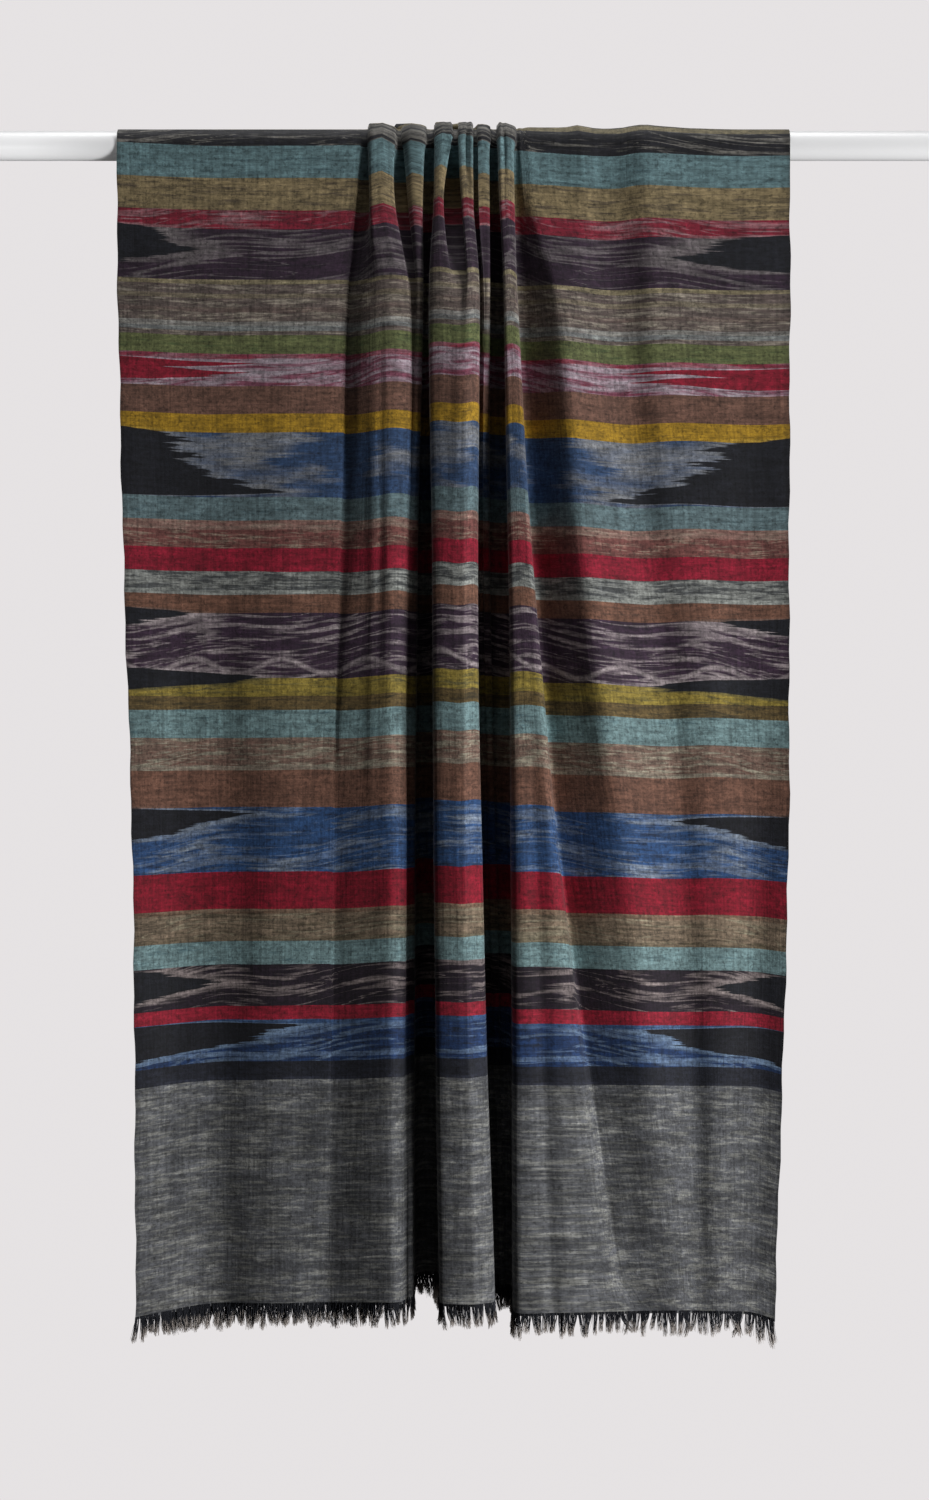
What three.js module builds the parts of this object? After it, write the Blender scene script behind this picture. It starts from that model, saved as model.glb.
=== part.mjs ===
// A woven ikat shawl draped over a round rod, so that one half hangs in front and the other behind.
// Millimetres, +Z up, X along the rod, the front fall on the -Y side.
// The origin is the middle of the rod's axis. "Out" is the distance of the cloth from the upright
// plane through that axis, towards the front for the front fall and towards the back for the other.

import * as THREE from "three";

// ---- Driving dimensions ----

const ROD_DIAMETER = 25;
const ROD_LENGTH = 900;
const ROD_SIDES = 48;
const ROD_CHAMFER = 1;

const CLOTH_WALL = 1;
const ROD_CLEARANCE = 0.6;
const SEAM_GAP = 0.3;

const FRINGE_STRIP = 3;
const FRINGE_LENGTH = 17;
const STRAND_PITCH = 6.6;
const NARROWEST_STRAND = 2.4;
const STRAND_UNEVENNESS = 1.6;
const STRAND_SWAY = 1.2;
const CORNER_STRANDS = 3;
const CORNER_LENGTHENING = 4;

// Distance out of the cloth's middle surface where it lies on the rod.
const SEAT = ROD_DIAMETER / 2 + ROD_CLEARANCE + CLOTH_WALL / 2;

// ---- The folds ----

// Heights below the rod's axis at which each fold is described. The first is the rod itself.
const DOWN = [0, 50, 130, 350, 600, 980];

// The two smooth panels, from each selvedge to the gathers: soft waves, given by where each crest
// or hollow lies along the rod, how far out it is, and how far below the axis its hem hangs.
const LEFT_PANEL = [
  { name: "selvedge", hem: 986,
    across: [-284, -284, -283, -278, -270, -266], out: [13.6, 13.6, 14, 17, 22, 33] },
  { name: "hollow", hem: 977,
    across: [-214, -214, -214, -210, -206, -206], out: [13.6, 13.6, 12.5, 10, 8, 8] },
  { name: "crest", hem: 976,
    across: [-147, -147, -151, -152, -154, -154], out: [13.6, 13.6, 14.5, 19, 22, 24] },
  { name: "edge", hem: 975,
    across: [-86, -87, -88, -96, -104, -109], out: [13.6, 13.6, 13, 13, 15, 20] },
];
const RIGHT_PANEL = [
  { name: "edge", hem: 979,
    across: [64, 66, 84, 110, 146, 162], out: [15.5, 17, 19, 26, 31, 40] },
  { name: "hollow", hem: 980,
    across: [153, 153, 154, 166, 191, 200], out: [13.6, 13, 9.5, 9, 11, 35] },
  { name: "crest", hem: 980,
    across: [168, 168, 173, 190, 212, 217], out: [15.5, 16, 16, 16, 19, 39] },
  { name: "last hollow", hem: 981,
    across: [221, 221, 229, 246, 256, 250], out: [13.6, 13.6, 12.5, 11, 11, 33] },
  { name: "selvedge", hem: 987,
    across: [284, 284, 284, 283, 282, 269], out: [13.6, 13.6, 14, 15, 19, 37] },
];

// The pleats, left to right: where each face starts and ends, and how far out its two edges stand.
const PLEATS = [
  { name: "first", left: [-73, -72, -68, -59, -55, -52], right: [-49, -49, -40, -48, -50, -48],
    outLeft: [19, 22, 26, 28, 33, 44], outRight: [17, 20, 26, 31, 36, 47], hem: 972 },
  { name: "second", left: [-44, -39, -32, -38, -41, -41], right: [-23, -25, -26, -30, -37, -37],
    outLeft: [18, 23, 26, 31, 36, 48], outRight: [18, 22.5, 25, 28, 36, 51], hem: 968 },
  { name: "third", left: [-17, -17, -22, -17, -13, -13], right: [-1, -8, -1, -2, -1, 3],
    outLeft: [20, 26, 38, 45, 48, 53], outRight: [20.5, 27, 41, 53, 56, 61], hem: 971 },
  { name: "fourth", left: [3, 6, 7, 8, 9, 14], right: [16.5, 16.5, 21.5, 22, 26, 36],
    outLeft: [21, 28.5, 42, 53.5, 57, 61.5], outRight: [20, 27, 40, 48, 52, 57], hem: 971 },
  { name: "fifth", left: [20, 20, 23.5, 24.5, 30, 39], right: [31, 31, 31, 31, 36, 43],
    outLeft: [19, 24.5, 31, 27, 14, 11], outRight: [18.5, 24, 30, 25, 12, 9], hem: 963 },
  { name: "sixth", left: [36, 38, 41, 46, 48, 49], right: [52, 52, 55, 74, 97, 134],
    outLeft: [19.5, 26, 33, 41, 46, 53], outRight: [18, 24, 31, 40, 46, 41], hem: 980 },
];

// The valleys beside and between the pleats, left to right: how far out each floor lies.
const VALLEYS = [
  { floor: [13.6, 10, 7, 8, 12, 19], hem: 975 },
  { floor: [13.6, 9, 24, 30, 35, 47], hem: 970 },
  { floor: [13.6, 6, 3, 3, 3, 3], hem: 952 },
  { floor: [13.6, 7, 36, 52.5, 56, 61], hem: 971 },
  { floor: [13.6, 12, 22, 19, 9, 5], hem: 963 },
  { floor: [13.6, 6, 3, 3, 3, 3], hem: 963 },
  { floor: [13.6, 9, 4, 3, 5, 33], hem: 980 },
];

// The first valley rises to its pleat by a slope of the given width, and on its other side its floor
// starts at a share of the mouth's width. The last valley's slope is a share of its mouth, and no
// floor is narrower than LEAST_FLOOR.
const FIRST_SLOPE = [-3, -2, 3, 26, 34, 44];
const FIRST_FLOOR_SHARE = 0.15;
const LAST_SLOPE_SHARE = 0.72;
const LEAST_FLOOR = 3;

// A valley deeper than DEEP runs under its pleats by up to TUCK; one less than SHALLOW has
// its floor corners inside its mouth.
const TUCK = [5, 3, 2, 1.5, 1.5, 1.5];
const TUCK_SHARE = 0.27;
const SHALLOW_SHARE = 0.28;
const SHALLOW = 2;
const DEEP = 5;

// Rounding of a fold and of a panel's waves, as the length of flank that each takes, and at most a
// share of that flank. A pleat's face is crowned by a share of its width.
const BEND = [1.6, 3, 4, 7, 9, 11];
const WAVE_BEND = 60;
const MOST_BEND_SHARE = 0.42;
const CROWN = 0.04;

// The furthest that a corner of the wall is moved, in wall thicknesses, where its fold is sharp.
const MITRE_LIMIT = 1.25;

// The back half: its folds wander along the rod and stand out a little less. The shawl lies a
// little askew over the rod, so behind it the left side hangs lower and the right side higher.
const BACK_SWAY = [0, 2, 6, 10, 7, -4];
const BACK_RELIEF = 0.93;
const BACK_HEM = { left: 6, right: -10, from: -90, to: 60 };

// Rows of cloth: angles over the rod, and shares of the drop below it.
const ROD_STEPS = 8;
const FRONT_ROWS = [0, 0.026, 0.052, 0.09, 0.133, 0.2, 0.29, 0.39, 0.52, 0.68, 0.84, 1];
const BACK_ROWS = [0, 0.035, 0.08, 0.133, 0.22, 0.36, 0.56, 0.78, 1];

// ---- Helpers ----

const clamp01 = (value) => Math.min(1, Math.max(0, value));
const mix = (a, b, share) => a + (b - a) * share;
const smooth = (share) => share * share * (3 - 2 * share);

// A smooth curve through a fold's values at the heights in DOWN.
function atHeight(values, down) {
  const last = DOWN.length - 1;
  let i = 0;
  while (i < last - 1 && down > DOWN[i + 1]) i += 1;
  const slope = (k) => {
    const before = Math.max(0, k - 1);
    const after = Math.min(last, k + 1);
    return (values[after] - values[before]) / (DOWN[after] - DOWN[before]);
  };
  const span = DOWN[i + 1] - DOWN[i];
  const t = clamp01((down - DOWN[i]) / span);
  return values[i] * (1 + 2 * t) * (1 - t) ** 2 + values[i + 1] * t * t * (3 - 2 * t)
    + slope(i) * span * t * (1 - t) ** 2 - slope(i + 1) * span * t * t * (1 - t);
}

// ---- The cloth's section at one height ----

// The corners of a valley between the face on its left and the one on its right.
function valleyCorners(i, left, right, floor, hem, down) {
  const mouth = right.start - left.end;
  const under = (face, edge) => {
    const most = Math.min(atHeight(TUCK, down), TUCK_SHARE * face.width);
    return mix(mouth * SHALLOW_SHARE, -most, clamp01((edge - floor - SHALLOW) / (DEEP - SHALLOW)));
  };
  const first = i === 0;
  const last = i === VALLEYS.length - 1;
  const leanLeft = first ? mouth * FIRST_FLOOR_SHARE : under(left, left.outEnd);
  const slope = last ? mouth * LAST_SLOPE_SHARE : under(right, right.outStart);
  const leanRight = first ? atHeight(FIRST_SLOPE, down) : slope;
  return [
    { across: left.end, out: left.outEnd, hem: left.hem },
    { across: left.end + leanLeft, out: floor, hem },
    { across: right.start - Math.min(leanRight, mouth - leanLeft - LEAST_FLOOR), out: floor, hem },
    { across: right.start, out: right.outStart, hem: right.hem },
  ];
}

// All the corners from selvedge to selvedge, before they are rounded.
function corners(down, back) {
  const sway = back ? atHeight(BACK_SWAY, down) : 0;
  const relief = (out) => SEAT + (out - SEAT) * (back && out > SEAT ? BACK_RELIEF : 1);
  const station = (row) => ({
    across: atHeight(row.across, down) + (row.name === "selvedge" ? 0 : sway),
    out: relief(atHeight(row.out, down)),
    hem: row.hem,
    wave: true,
  });
  const faces = PLEATS.map((pleat) => {
    const start = atHeight(pleat.left, down) + sway;
    const end = atHeight(pleat.right, down) + sway;
    const outStart = relief(atHeight(pleat.outLeft, down));
    const outEnd = relief(atHeight(pleat.outRight, down));
    return { start, end, width: end - start, outStart, outEnd, hem: pleat.hem };
  });
  const leftPanel = LEFT_PANEL.map(station);
  const rightPanel = RIGHT_PANEL.map(station);
  const leftEdge = leftPanel.pop();
  const rightEdge = rightPanel.shift();
  const leftEnd = { end: leftEdge.across, outEnd: leftEdge.out, hem: leftEdge.hem, width: 0 };
  const rightEnd = { start: rightEdge.across, outStart: rightEdge.out, hem: rightEdge.hem, width: 0 };
  const before = [leftEnd, ...faces];
  const after = [...faces, rightEnd];
  const folds = VALLEYS.flatMap((valley, i) => {
    const floor = relief(atHeight(valley.floor, down));
    const crown = after[i].end === undefined ? [] : [{
      across: mix(after[i].start, after[i].end, 0.5),
      out: mix(after[i].outStart, after[i].outEnd, 0.5) + CROWN * after[i].width,
      hem: after[i].hem,
      crown: true,
    }];
    return [...valleyCorners(i, before[i], after[i], floor, valley.hem, down), ...crown];
  });
  return [...leftPanel, ...folds, ...rightPanel];
}

// Points of one fold: a short curve in place of its corner.
function roundedFold(previous, corner, next, bend) {
  if (corner.crown) return [corner];
  const towards = (other) => {
    const length = Math.hypot(other.across - corner.across, other.out - corner.out);
    const share = Math.min(MOST_BEND_SHARE, bend / length);
    return {
      across: mix(corner.across, other.across, share),
      out: mix(corner.out, other.out, share),
      hem: mix(corner.hem, other.hem, corner.wave ? share : 0),
    };
  };
  const [start, end] = [towards(previous), towards(next)];
  const middle = {
    across: (start.across + 2 * corner.across + end.across) / 4,
    out: (start.out + 2 * corner.out + end.out) / 4,
    hem: (start.hem + 2 * corner.hem + end.hem) / 4,
  };
  return [start, middle, end];
}

// The middle line of the cloth from selvedge to selvedge at one height below the axis.
function section(down, back = false) {
  const all = corners(down, back);
  const inside = all.slice(1, -1).flatMap((corner, i) => {
    const bend = corner.wave ? WAVE_BEND : atHeight(BEND, down);
    return roundedFold(all[i], corner, all[i + 2], bend);
  });
  return [all[0], ...inside, all[all.length - 1]];
}

// Moves each point of a line sideways by a distance, keeping the wall's thickness round the folds.
function offset(points, distance) {
  const normal = (a, b) => {
    const length = Math.hypot(b.across - a.across, b.out - a.out);
    return { across: -(b.out - a.out) / length, out: (b.across - a.across) / length };
  };
  return points.map((point, i) => {
    const n1 = normal(points[Math.max(0, i - 1)], points[Math.max(1, i)]);
    const n2 = normal(points[Math.min(points.length - 2, i)], points[Math.min(points.length - 1, i + 1)]);
    const sum = { across: n1.across + n2.across, out: n1.out + n2.out };
    const square = sum.across ** 2 + sum.out ** 2;
    const mitre = Math.min(MITRE_LIMIT, 2 / square ** 0.5) / square ** 0.5;
    return {
      across: point.across + sum.across * mitre * distance,
      out: point.out + sum.out * mitre * distance,
    };
  });
}

// Drop of the hem below the axis at each point.
function drop(point, back) {
  if (!back) return point.hem;
  const share = clamp01((point.across - BACK_HEM.from) / (BACK_HEM.to - BACK_HEM.from));
  return point.hem + mix(BACK_HEM.left, BACK_HEM.right, smooth(share));
}

// ---- Meshes ----

function solid(name, material, positions, triangles) {
  let volume = 0;
  const corner = (k) => new THREE.Vector3(...positions[k]);
  for (const [a, b, c] of triangles) volume += corner(a).dot(corner(b).cross(corner(c)));
  const outward = volume > 0 ? triangles : triangles.map(([a, b, c]) => [a, c, b]);
  const geometry = new THREE.BufferGeometry();
  geometry.setAttribute("position", new THREE.Float32BufferAttribute(positions.flat(), 3));
  geometry.setIndex(outward.flat());
  geometry.computeVertexNormals();
  const mesh = new THREE.Mesh(geometry, material);
  mesh.name = name;
  return mesh;
}

// A closed wall between two grids of points, outer[row][column] and inner[row][column].
function wall(name, material, outer, inner) {
  const rows = outer.length;
  const columns = outer[0].length;
  const positions = [...outer.flat(), ...inner.flat()];
  const at = (face, row, column) => (face * rows + row) * columns + column;
  const triangles = [];
  const quad = (a, b, c, d) => triangles.push([a, b, c], [a, c, d]);
  for (let r = 0; r + 1 < rows; r += 1) {
    for (let c = 0; c + 1 < columns; c += 1) {
      quad(at(0, r, c), at(0, r, c + 1), at(0, r + 1, c + 1), at(0, r + 1, c));
      quad(at(1, r, c), at(1, r + 1, c), at(1, r + 1, c + 1), at(1, r, c + 1));
    }
    quad(at(0, r, 0), at(0, r + 1, 0), at(1, r + 1, 0), at(1, r, 0));
    const end = columns - 1;
    quad(at(0, r, end), at(1, r, end), at(1, r + 1, end), at(0, r + 1, end));
  }
  for (let c = 0; c + 1 < columns; c += 1) {
    quad(at(0, 0, c), at(1, 0, c), at(1, 0, c + 1), at(0, 0, c + 1));
    const hem = rows - 1;
    quad(at(0, hem, c), at(0, hem, c + 1), at(1, hem, c + 1), at(1, hem, c));
  }
  return solid(name, material, positions, triangles);
}

// The stretch that lies over the rod, from the back tangent to the front one.
function overRod(name, material) {
  const outer = [];
  const inner = [];
  for (let i = 0; i <= ROD_STEPS; i += 1) {
    const angle = mix(-Math.PI / 2, Math.PI / 2, i / ROD_STEPS);
    const line = section(0);
    const place = (point) => [point.across, -point.out * Math.sin(angle), point.out * Math.cos(angle)];
    outer.push(offset(line, CLOTH_WALL / 2).map(place));
    inner.push(offset(line, -CLOTH_WALL / 2).map(place));
  }
  return wall(name, material, outer, inner);
}

// A hanging half of the shawl, from just below the rod's axis to its hem.
function fall(name, material, rows, back) {
  const outer = [];
  const inner = [];
  const facing = back ? 1 : -1;
  for (const share of rows) {
    const line = section(share * DOWN[DOWN.length - 1], back);
    const place = (point, i) => {
      const height = -SEAM_GAP - share * (drop(line[i], back) - SEAM_GAP);
      return [point.across, facing * point.out, height];
    };
    outer.push(offset(line, CLOTH_WALL / 2).map(place));
    inner.push(offset(line, -CLOTH_WALL / 2).map(place));
  }
  return wall(name, material, outer, inner);
}

// The fringe of one hem: a narrow strip of cloth, with the warp ends below it in tapering locks.
function fringe(name, material, back) {
  const facing = back ? 1 : -1;
  const hemLine = section(DOWN[DOWN.length - 1], back);
  const line = [];
  hemLine.forEach((point, i) => {
    line.push(point);
    if (i + 1 === hemLine.length) return;
    const next = hemLine[i + 1];
    const width = Math.hypot(next.across - point.across, next.out - point.out);
    const cells = Math.max(1, Math.round(width / STRAND_PITCH));
    for (let k = 1; k < cells; k += 1) {
      line.push({
        across: mix(point.across, next.across, k / cells),
        out: mix(point.out, next.out, k / cells),
        hem: mix(point.hem, next.hem, k / cells),
      });
    }
  });
  const faces = [offset(line, CLOTH_WALL / 2), offset(line, -CLOTH_WALL / 2)];
  const positions = [];
  for (const below of [SEAM_GAP, SEAM_GAP + FRINGE_STRIP]) {
    for (const face of faces) {
      const place = (point, i) => [point.across, facing * point.out, -drop(line[i], back) - below];
      positions.push(...face.map(place));
    }
  }
  const count = line.length;
  const top = (face, i) => face * count + i;
  const bottom = (face, i) => (2 + face) * count + i;
  const triangles = [];
  const quad = (a, b, c, d) => triangles.push([a, b, c], [a, c, d]);
  for (let i = 0; i + 1 < count; i += 1) {
    quad(top(0, i), top(0, i + 1), bottom(0, i + 1), bottom(0, i));
    quad(top(1, i), bottom(1, i), bottom(1, i + 1), top(1, i + 1));
    quad(top(0, i), top(1, i), top(1, i + 1), top(0, i + 1));
    const root = [bottom(0, i), bottom(0, i + 1), bottom(1, i + 1), bottom(1, i)];
    const width = Math.hypot(line[i + 1].across - line[i].across, line[i + 1].out - line[i].out);
    if (width < NARROWEST_STRAND) {
      quad(...root);
      continue;
    }
    const corners = root.map((k) => positions[k]);
    const centre = [0, 1, 2].map((axis) => corners.reduce((sum, point) => sum + point[axis], 0) / 4);
    const longer = i > count - 1 - CORNER_STRANDS ? CORNER_LENGTHENING : 0;
    const uneven = STRAND_UNEVENNESS * (Math.sin(i * 2.4) + Math.sin(i * 5.1 + 1)) / 2;
    const tip = positions.length;
    positions.push([
      centre[0] + STRAND_SWAY * Math.sin(i * 3.7) + longer / 2,
      centre[1] + STRAND_SWAY * Math.sin(i * 1.9) / 2,
      centre[2] - (FRINGE_LENGTH - FRINGE_STRIP + uneven + longer),
    ]);
    root.forEach((k, j) => triangles.push([k, root[(j + 1) % 4], tip]));
  }
  for (const i of [0, count - 1]) {
    const end = [top(0, i), bottom(0, i), bottom(1, i), top(1, i)];
    quad(...(i === 0 ? end : end.reverse()));
  }
  return solid(name, material, positions, triangles);
}

// The round rod, with its end edges just broken.
function rod(name, material) {
  const radius = ROD_DIAMETER / 2;
  const half = ROD_LENGTH / 2;
  const profile = [
    [0, -half], [radius - ROD_CHAMFER, -half], [radius, -half + ROD_CHAMFER],
    [radius, half - ROD_CHAMFER], [radius - ROD_CHAMFER, half], [0, half],
  ].map(([x, y]) => new THREE.Vector2(x, y));
  const mesh = new THREE.Mesh(new THREE.LatheGeometry(profile, ROD_SIDES), material);
  mesh.rotation.z = -Math.PI / 2;
  mesh.name = name;
  return mesh;
}

// ---- The part ----

const paintedWood = new THREE.MeshStandardMaterial({ color: 0xe9e9ea, roughness: 0.35, metalness: 0 });
const wovenCloth = new THREE.MeshStandardMaterial({ color: 0x54494d, roughness: 0.8, metalness: 0 });
const warpEnds = new THREE.MeshStandardMaterial({ color: 0x2c2c30, roughness: 0.9, metalness: 0 });

const shawlOnRod = new THREE.Group();
shawlOnRod.add(
  rod("rod", paintedWood),
  overRod("shawl_over_rod", wovenCloth),
  fall("shawl_front_fall", wovenCloth.clone(), FRONT_ROWS, false),
  fall("shawl_back_fall", wovenCloth.clone(), BACK_ROWS, true),
  fringe("fringe_front", warpEnds, false),
  fringe("fringe_back", warpEnds.clone(), true),
);

export default shawlOnRod;
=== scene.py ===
"""A striped ikat shawl hanging in folds over a round white rod, in metres, +Z up."""

import math

import bpy
import numpy as np
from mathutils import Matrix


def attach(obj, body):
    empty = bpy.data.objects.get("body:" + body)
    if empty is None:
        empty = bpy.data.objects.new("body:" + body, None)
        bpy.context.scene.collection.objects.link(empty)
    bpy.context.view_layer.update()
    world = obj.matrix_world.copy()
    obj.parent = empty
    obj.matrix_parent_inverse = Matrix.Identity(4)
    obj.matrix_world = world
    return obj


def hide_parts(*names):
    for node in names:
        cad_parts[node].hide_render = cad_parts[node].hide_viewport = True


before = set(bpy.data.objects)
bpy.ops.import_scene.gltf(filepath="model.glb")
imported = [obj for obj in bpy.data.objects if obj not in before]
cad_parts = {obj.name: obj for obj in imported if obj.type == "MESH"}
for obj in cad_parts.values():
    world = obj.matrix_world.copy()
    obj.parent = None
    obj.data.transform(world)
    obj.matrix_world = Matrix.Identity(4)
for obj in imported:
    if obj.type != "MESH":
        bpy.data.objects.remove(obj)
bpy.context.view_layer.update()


# ---- Where the shawl is looked at from ----
# A level view from three metres in front of the cloth and half way down it, as a shop would show
# a shawl on its rail. The lens and the sensor are in millimetres.

VIEW_DISTANCE = 2.9925
VIEW_CENTRE = (0.0093, -0.5118)
CLOTH_PLANE = -0.0155
LENS, SENSOR = 85.2, 36.0

camera_data = bpy.data.cameras.new("front_view")
camera_data.sensor_width = SENSOR
camera_data.lens = LENS
camera = bpy.data.objects.new("front_view", camera_data)
camera.location = (VIEW_CENTRE[0], CLOTH_PLANE - VIEW_DISTANCE, VIEW_CENTRE[1])
camera.rotation_euler = (math.pi / 2, 0, 0)
bpy.context.collection.objects.link(camera)
bpy.context.scene.camera = camera


# ---- The rod ----
# A round softwood dowel, 25 mm across, sanded and sprayed satin white, its end edges just broken.
# It lies level, and the shawl hangs over it.

MM = 0.001
ROD_RADIUS = 12.5 * MM
ROD_HALF_LENGTH = 450 * MM
ROD_CHAMFER = 1 * MM
ROD_SIDES = 96
ROD_CENTRE_DOT = 0.01 * MM
PAINT_DULL, PAINT_CLEAN = (0.80, 0.80, 0.81, 1), (0.86, 0.86, 0.865, 1)
PAINT_CLOUDS_A_METRE, PEEL_BUMPS_A_METRE = 9.0, 420.0
PEEL_HEIGHT = 0.08 * MM


def add_mesh(name, points, quads, material, sharp_angle, uv=None):
    """A mesh object at the world's origin from arrays of points and quads, smooth but at edges
    sharper than the given angle, with one (u, v) pair a point where uv is given."""
    mesh = bpy.data.meshes.new(name)
    mesh.from_pydata(points.reshape(-1, 3), [], quads.tolist())
    if uv is not None:
        corners = np.empty(len(mesh.loops), int)
        mesh.loops.foreach_get("vertex_index", corners)
        layer = mesh.uv_layers.new(name="UVMap")
        layer.data.foreach_set("uv", uv.reshape(-1, 2)[corners].astype(np.float32).ravel())
    mesh.polygons.foreach_set("use_smooth", np.ones(len(mesh.polygons), bool))
    mesh.set_sharp_from_angle(angle=math.radians(sharp_angle))
    mesh.materials.append(material)
    mesh.update()
    piece = bpy.data.objects.new(name, mesh)
    bpy.context.collection.objects.link(piece)
    return piece


def tube_quads(rows, columns):
    """Quads of a grid of points, rows by columns, whose last column is joined to its first."""
    index = np.arange(rows * columns).reshape(rows, columns)
    index = np.concatenate([index, index[:, :1]], axis=1)
    corners = [index[:-1, :-1], index[1:, :-1], index[1:, 1:], index[:-1, 1:]]
    return np.stack(corners, axis=-1).reshape(-1, 4)


class Finish:
    """A material and short ways of adding and joining its nodes."""

    def __init__(self, name):
        self.material = bpy.data.materials.new(name)
        self.material.use_nodes = True
        self.nodes = self.material.node_tree.nodes
        self.links = self.material.node_tree.links
        self.shader = self.nodes["Principled BSDF"]

    def plug(self, value, socket):
        """Joins an output to a socket, or sets a plain value on it."""
        if isinstance(value, bpy.types.NodeSocket):
            self.links.new(value, socket)
        else:
            socket.default_value = value

    def reckon(self, operation, *values, clamp=False):
        """The operation on one, two or three values, held between 0 and 1 where it is clamped."""
        node = self.nodes.new("ShaderNodeMath")
        node.operation = operation
        node.use_clamp = clamp
        for value, socket in zip(values, node.inputs):
            self.plug(value, socket)
        return node.outputs[0]

    def mix(self, share, first, second, blend="MIX"):
        """The first colour at a share of 0, and the second laid over it at 1."""
        node = self.nodes.new("ShaderNodeMix")
        node.data_type = "RGBA"
        node.blend_type = blend
        self.plug(share, node.inputs[0])
        self.plug(first, node.inputs[6])
        self.plug(second, node.inputs[7])
        return node.outputs[2]

    def place(self, x, y, z=0.0):
        """Three values as one vector or colour."""
        node = self.nodes.new("ShaderNodeCombineXYZ")
        for value, socket in zip((x, y, z), node.inputs):
            self.plug(value, socket)
        return node.outputs[0]

    def chance(self, value):
        """A random share for each whole number."""
        node = self.nodes.new("ShaderNodeTexWhiteNoise")
        node.noise_dimensions = "1D"
        self.plug(self.reckon("FLOOR", value), node.inputs["W"])
        return node.outputs["Value"]

    def noise(self, vector, detail=2.0, roughness=0.5, scale=1.0):
        """Smooth noise about one half, mostly between 0.3 and 0.7."""
        node = self.nodes.new("ShaderNodeTexNoise")
        self.plug(vector, node.inputs["Vector"])
        node.inputs["Scale"].default_value = scale
        node.inputs["Detail"].default_value = detail
        node.inputs["Roughness"].default_value = roughness
        return node.outputs["Fac"]

    def ramp(self, value, stops, interpolation="LINEAR"):
        """The colour at a value on a scale of (place, colour) pairs."""
        node = self.nodes.new("ShaderNodeValToRGB")
        scale = node.color_ramp
        scale.interpolation = interpolation
        while len(scale.elements) < len(stops):
            scale.elements.new(1.0)
        for element, (place, colour) in zip(scale.elements, stops):
            element.position = place
            element.color = (*colour, 1.0)
        self.plug(value, node.inputs[0])
        return node.outputs[0]

    def parts(self, vector):
        """The three values of a vector or colour."""
        node = self.nodes.new("ShaderNodeSeparateXYZ")
        self.plug(vector, node.inputs[0])
        return node.outputs

    def between(self, low, high, value):
        """0 below low, 1 above high, and straight between them."""
        node = self.nodes.new("ShaderNodeMapRange")
        for socket, setting in zip(node.inputs[:3], (value, low, high)):
            self.plug(setting, socket)
        return node.outputs[0]

    def bump(self, height, distance, strength):
        """Raises the surface's shading by a height of 0 to 1 times the distance."""
        node = self.nodes.new("ShaderNodeBump")
        node.inputs["Strength"].default_value = strength
        node.inputs["Distance"].default_value = distance
        self.plug(height, node.inputs["Height"])
        self.plug(node.outputs[0], self.shader.inputs["Normal"])

    def set(self, **values):
        """Gives the surface its values, such as Base_Color and Roughness."""
        for name, value in values.items():
            self.plug(value, self.shader.inputs[name.replace("_", " ")])


def white_paint():
    """Sprayed satin paint with a faint orange peel and the lightest cloudiness in its white."""
    paint = Finish("white_satin_paint")
    where = paint.nodes.new("ShaderNodeTexCoord").outputs["Object"]
    cloud = paint.noise(where, detail=3.0, scale=PAINT_CLOUDS_A_METRE)
    peel = paint.noise(where, detail=1.0, scale=PEEL_BUMPS_A_METRE)
    paint.set(Base_Color=paint.mix(cloud, PAINT_DULL, PAINT_CLEAN), Roughness=0.33)
    paint.bump(peel, distance=PEEL_HEIGHT, strength=0.5)
    return paint.material


def rod_points():
    """A profile of (along, radius) pairs, turned about the X axis: y and z are the radius times the
    sine and cosine of the angle. Each end closes in a dot too small to see."""
    end, edge = ROD_HALF_LENGTH, ROD_HALF_LENGTH - ROD_CHAMFER
    inner = ROD_RADIUS - ROD_CHAMFER
    along = np.array([-end, -end, -edge, edge, end, end])
    radius = np.array([ROD_CENTRE_DOT, inner, ROD_RADIUS, ROD_RADIUS, inner, ROD_CENTRE_DOT])
    angle = np.linspace(0, 2 * math.pi, ROD_SIDES, endpoint=False)
    return np.stack([
        np.repeat(along[:, None], ROD_SIDES, axis=1),
        radius[:, None] * np.sin(angle),
        radius[:, None] * np.cos(angle),
    ], axis=-1)


rod_grid = rod_points()
rod = add_mesh("rod_painted", rod_grid, tube_quads(*rod_grid.shape[:2]), white_paint(),
               sharp_angle=30)
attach(rod, "root")
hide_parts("rod")


# ---- The shawl ----
# One length of wool and silk cloth, 0.76 m wide and 2 m long, woven with weft stripes and weft
# ikat. It is hung over the rod a little askew, half in front and half behind, and its middle is
# gathered by hand into six pleats with deep valleys between them.

# The folds are given in millimetres at these heights below the rod's axis. "across" is measured
# along the rod from its middle, "out" forwards from the rod's upright mid-plane, and "hem" is the
# drop of the hem. "skew" is how far forward over the rod the cloth is pulled there. Cloth that lies
# on the rod is SEAT out.
DOWN = np.array([0, 50, 130, 350, 600, 980.0])
SEAT = 13.6
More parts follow.
